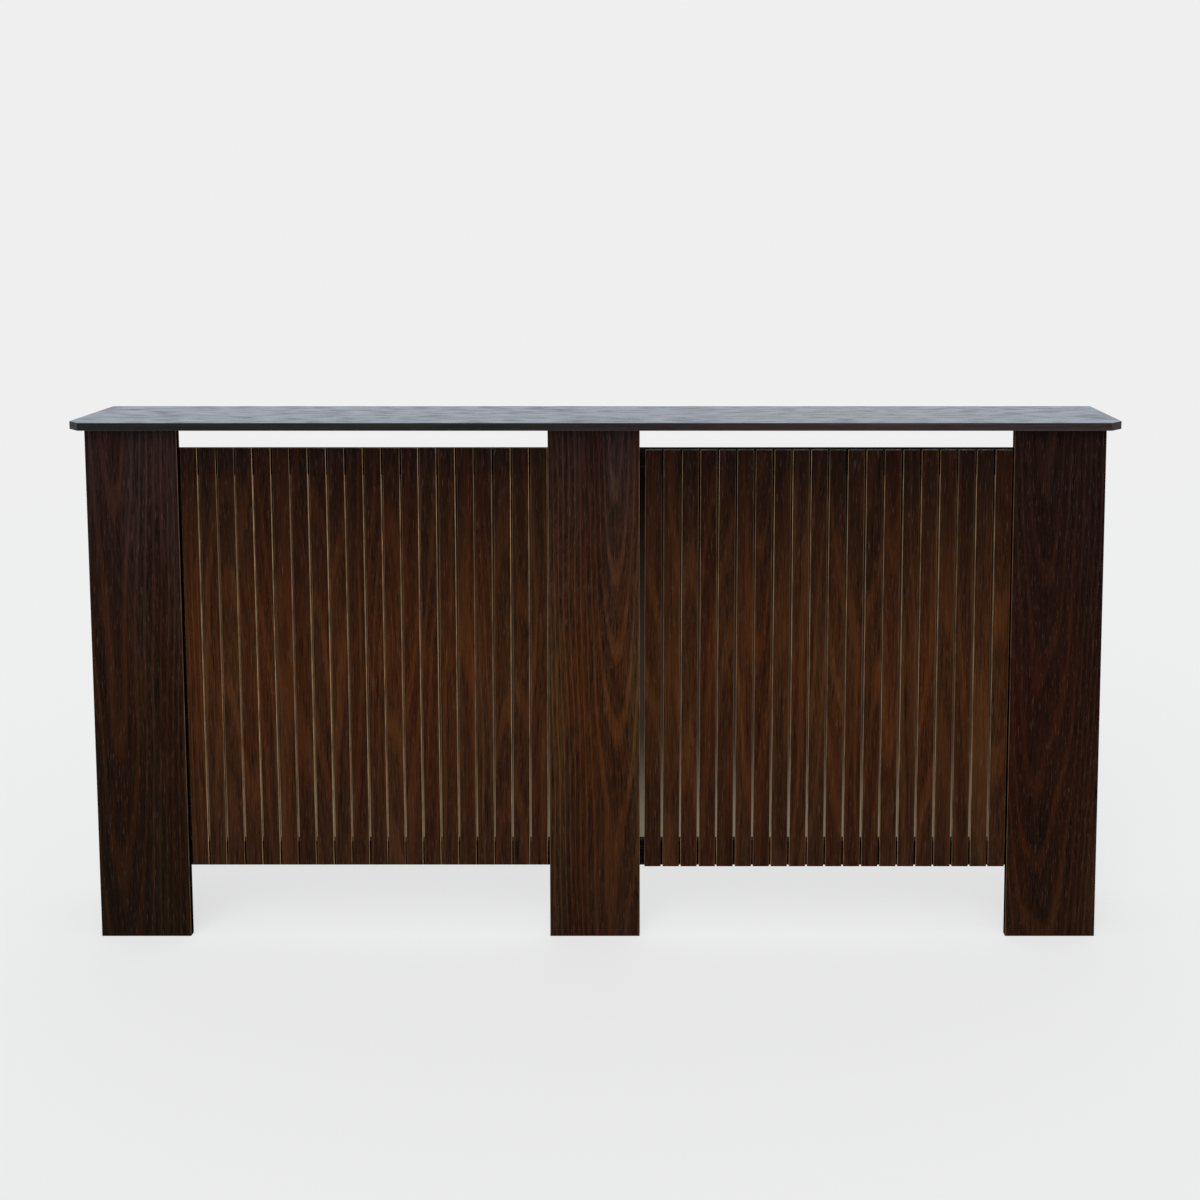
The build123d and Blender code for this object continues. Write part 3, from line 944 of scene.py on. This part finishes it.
matt = add(tree, "BsdfDiffuse", {}, {"Color": paint("#F0F0F0")})[0]
glow = add(tree, "Emission", {}, {"Color": PALE, "Strength": 1.0})[0]
both = add(tree, "MixShader", {}, {0: blend, 1: matt, 2: glow})[0]
add(tree, "OutputMaterial", {}, {"Surface": both})
floor_mesh.materials.append(floor_paint)
floor = in_scene("studio_floor", floor_mesh)

# A plain level light from all round. The daylight that grazes the shelf is a little
# cooler than the room.
world = bpy.context.scene.world or bpy.data.worlds.new("studio")
bpy.context.scene.world = world
tree = empty_tree(world)
ray, shown = backdrop_rays(tree)
soft_light = add(tree, "Background", {}, {"Color": paint("#F2F4F6"), "Strength": 0.9})[0]
tint = add(
    tree, "Mix", BLEND, {FACTOR: ray["Is Glossy Ray"], FIRST: PALE, SECOND: paint("#E9F3FF")}
)[MIXED]
backdrop = add(tree, "Background", {}, {"Color": tint, "Strength": 1.0})[0]
both = add(tree, "MixShader", {}, {0: shown, 1: soft_light, 2: backdrop})[0]
add(tree, "OutputWorld", {}, {"Surface": both})

key = bpy.data.lights.new("soft_key", "SUN")
key.energy = 0.9
key.angle = math.radians(40)
key_lamp = in_scene("soft_key", key)
key_lamp.rotation_euler = (math.radians(52), 0, math.radians(-14))

# The room side of the grille is darker than a pale studio: a card close behind the
# slats stands for the unlit recess, deep under the shelf and lighter near the floor,
# more so to the right. It is dark at its ends, behind the outer stiles. Only the camera
# in front sees it; it throws no shadow and hides nothing from behind.
CARD_SIDE, CARD_PLACE = 0.66, -0.040
CARD_BOTTOM, CARD_TOP = 0.125, 0.750
card_mesh = bpy.data.meshes.new("recess_card")
corners = [
    (-CARD_SIDE, CARD_PLACE, CARD_BOTTOM),
    (CARD_SIDE, CARD_PLACE, CARD_BOTTOM),
    (CARD_SIDE, CARD_PLACE, CARD_TOP),
    (-CARD_SIDE, CARD_PLACE, CARD_TOP),
]
card_mesh.from_pydata(corners, [], [[0, 1, 2, 3]])
card_paint = bpy.data.materials.new("recess_card")
tree = empty_tree(card_paint)
spot = add(tree, "SeparateXYZ", {}, {0: add(tree, "TexCoord", {}, {})["Object"]})
from_middle = add(tree, "Math", {"operation": "ABSOLUTE"}, {0: spot[0]})[0]
fades = {}
for name, place, start, stop in (
    ("dusk", spot[2], 0.75, 0.35),
    ("near_floor", spot[2], 0.33, 0.13),
    ("not_end", from_middle, 0.645, 0.60),
    ("to_right", spot[0], -0.1, 0.25),
):
    stretch = {"Value": place, "From Min": start, "From Max": stop}
    fades[name] = add(tree, "MapRange", SMOOTH, stretch)[0]
half_lit = add(tree, "Math", TIMES, {0: fades["dusk"], 1: fades["not_end"]})[0]
lit = add(tree, "Math", TIMES, {0: fades["near_floor"], 1: fades["not_end"]})[0]
dark = {FIRST: paint("#070403"), SECOND: paint("#322A23")}
upper = add(tree, "Mix", BLEND, {FACTOR: half_lit, **dark})[MIXED]
light = {FIRST: paint("#6C6452"), SECOND: paint("#766E60")}
lower = add(tree, "Mix", BLEND, {FACTOR: fades["to_right"], **light})[MIXED]
colour = add(tree, "Mix", BLEND, {FACTOR: lit, FIRST: upper, SECOND: lower})[MIXED]
glow = add(tree, "Emission", {}, {"Color": colour, "Strength": 1.0})[0]
clear = add(tree, "BsdfTransparent", {}, {})[0]
behind = add(tree, "NewGeometry", {}, {})["Backfacing"]
in_front = add(tree, "Math", {"operation": "SUBTRACT"}, {0: 1.0, 1: behind})[0]
by_camera = add(tree, "LightPath", {}, {})["Is Camera Ray"]
seen = add(tree, "Math", TIMES, {0: in_front, 1: by_camera})[0]
both = add(tree, "MixShader", {}, {0: seen, 1: clear, 2: glow})[0]
add(tree, "OutputMaterial", {}, {"Surface": both})
card_mesh.materials.append(card_paint)
card = in_scene("recess_card", card_mesh)

# The camera stands a little right of the middle and above the shelf. It looks slightly
# down, and its shift brings the object to its place in the picture.
lens = bpy.data.cameras.new("camera")
lens.lens = 43.0
lens.shift_x = -0.068
lens.shift_y = -0.22
camera = in_scene("camera", lens)
camera.location = (0.131, -2.235, 1.130)
camera.rotation_euler = (math.radians(90 - 4.9), 0, 0)
bpy.context.scene.camera = camera
bpy.context.scene.view_settings.view_transform = "Standard"
